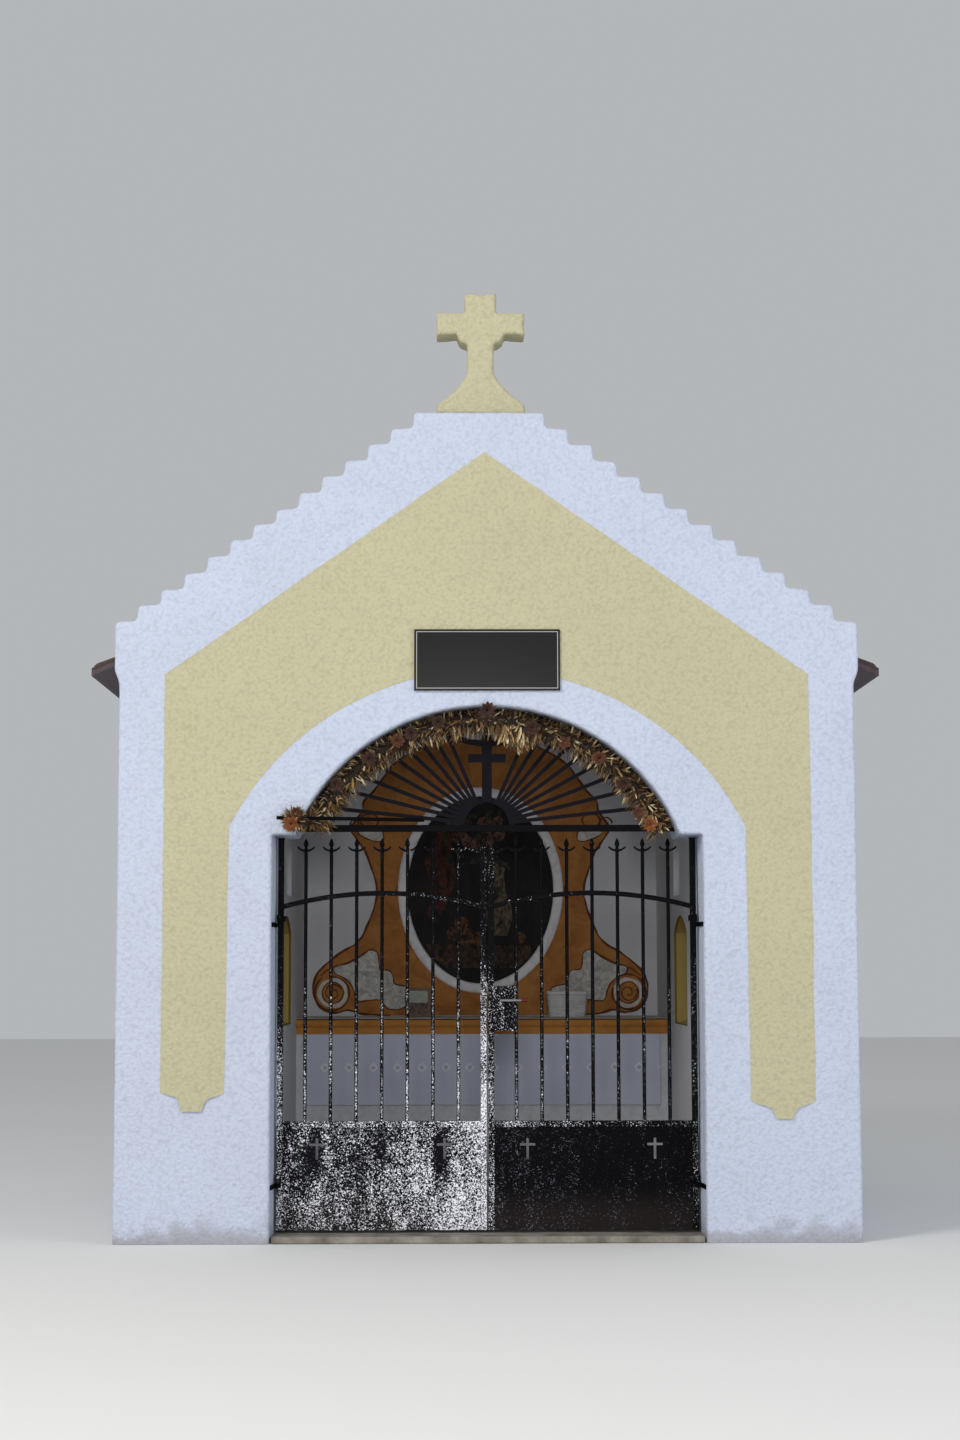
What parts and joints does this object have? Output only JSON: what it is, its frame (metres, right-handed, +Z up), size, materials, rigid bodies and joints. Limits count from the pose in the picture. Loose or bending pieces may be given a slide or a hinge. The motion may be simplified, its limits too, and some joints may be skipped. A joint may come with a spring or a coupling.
{
  "type": "wayside shrine",
  "caption": "Small walk-in wayside chapel with a stepped gable, gable cross, barrel vault, painted altar wall, sunburst fanlight and hinged iron gate leaves.",
  "frame": {"origin": "on the ground in the middle of the footprint, under the floor", "axes": "+Z up, +Y from the gate towards the altar, +X to the right of someone facing the gate"},
  "size_m": [3.64, 3.464, 4.255],
  "materials": {
    "plaster": "white limewashed rough plaster",
    "yellow_plaster": "pale ochre-yellow rough plaster",
    "limewash": "smooth white limewash",
    "concrete": "trowelled concrete",
    "ochre_plaster": "ochre painted plaster",
    "boards": "dark brown stained boards",
    "roof_tile": "dark brown plain tiles",
    "black_stone": "polished black stone",
    "cloth": "white linen with a crocheted row",
    "dark_paint": "dark oil-painted panel",
    "frame_wood": "brown painted frame",
    "pane": "clear window glass",
    "black_iron": "glossy black hammered paint on iron",
    "worn_steel": "worn steel",
    "husks": "dried husks and flower heads",
    "white_plastic": "ribbed white planter",
    "card_wood": "small framed card"
  },
  "bodies": {
    "root": {"left_pier": "plaster", "right_pier": "plaster", "arched_gable": "plaster", "gable_cross": "yellow_plaster", "left_side_wall": "plaster", "right_side_wall": "plaster", "back_wall": "plaster", "threshold": "concrete", "floor": "concrete", "vault": "limewash", "left_roof_boards": "boards", "right_roof_boards": "boards", "left_roof_tiles": "roof_tile", "right_roof_tiles": "roof_tile", "ridge_tiles": "roof_tile", "plaque": "black_stone", "altar_block": "limewash", "altar_shelf": "ochre_plaster", "altar_cloth": "cloth", "oval_picture": "dark_paint", "oval_moulding": "limewash", "left_window_frame": "frame_wood", "right_window_frame": "frame_wood", "left_window_pane": "pane", "right_window_pane": "pane", "transom_bar": "black_iron", "sunburst_grille": "black_iron", "sunburst_cross": "black_iron", "garland_rod": "black_iron", "garland": "husks", "planter": "white_plastic", "framed_card": "card_wood", "left_hinge_hooks": "black_iron", "right_hinge_hooks": "black_iron"},
    "left_leaf": {"left_leaf_grille": "black_iron", "left_leaf_rail": "black_iron", "left_leaf_panel": "black_iron", "left_leaf_eyes": "black_iron"},
    "right_leaf": {"right_leaf_grille": "black_iron", "right_leaf_rail": "black_iron", "right_leaf_panel": "black_iron", "right_leaf_eyes": "black_iron", "lock_box": "black_iron"},
    "lever": {"lever_handle": "worn_steel"}
  },
  "joints": [
    {"name": "left_gate", "type": "hinge", "parent": "root", "child": "left_leaf", "pos_m": [-0.925, -1.497, 1], "axis": [0, 0, -1], "range_deg": [0, 95]},
    {"name": "right_gate", "type": "hinge", "parent": "root", "child": "right_leaf", "pos_m": [0.925, -1.497, 1], "axis": [0, 0, 1], "range_deg": [0, 95]},
    {"name": "lever_turn", "type": "hinge", "parent": "right_leaf", "child": "lever", "pos_m": [0.0616, -1.514, 1.04964], "axis": [0, 1, 0], "range_deg": [0, 40], "stiffness_Nm_per_rad": 0.5, "springref_deg": -28.65}
  ]
}
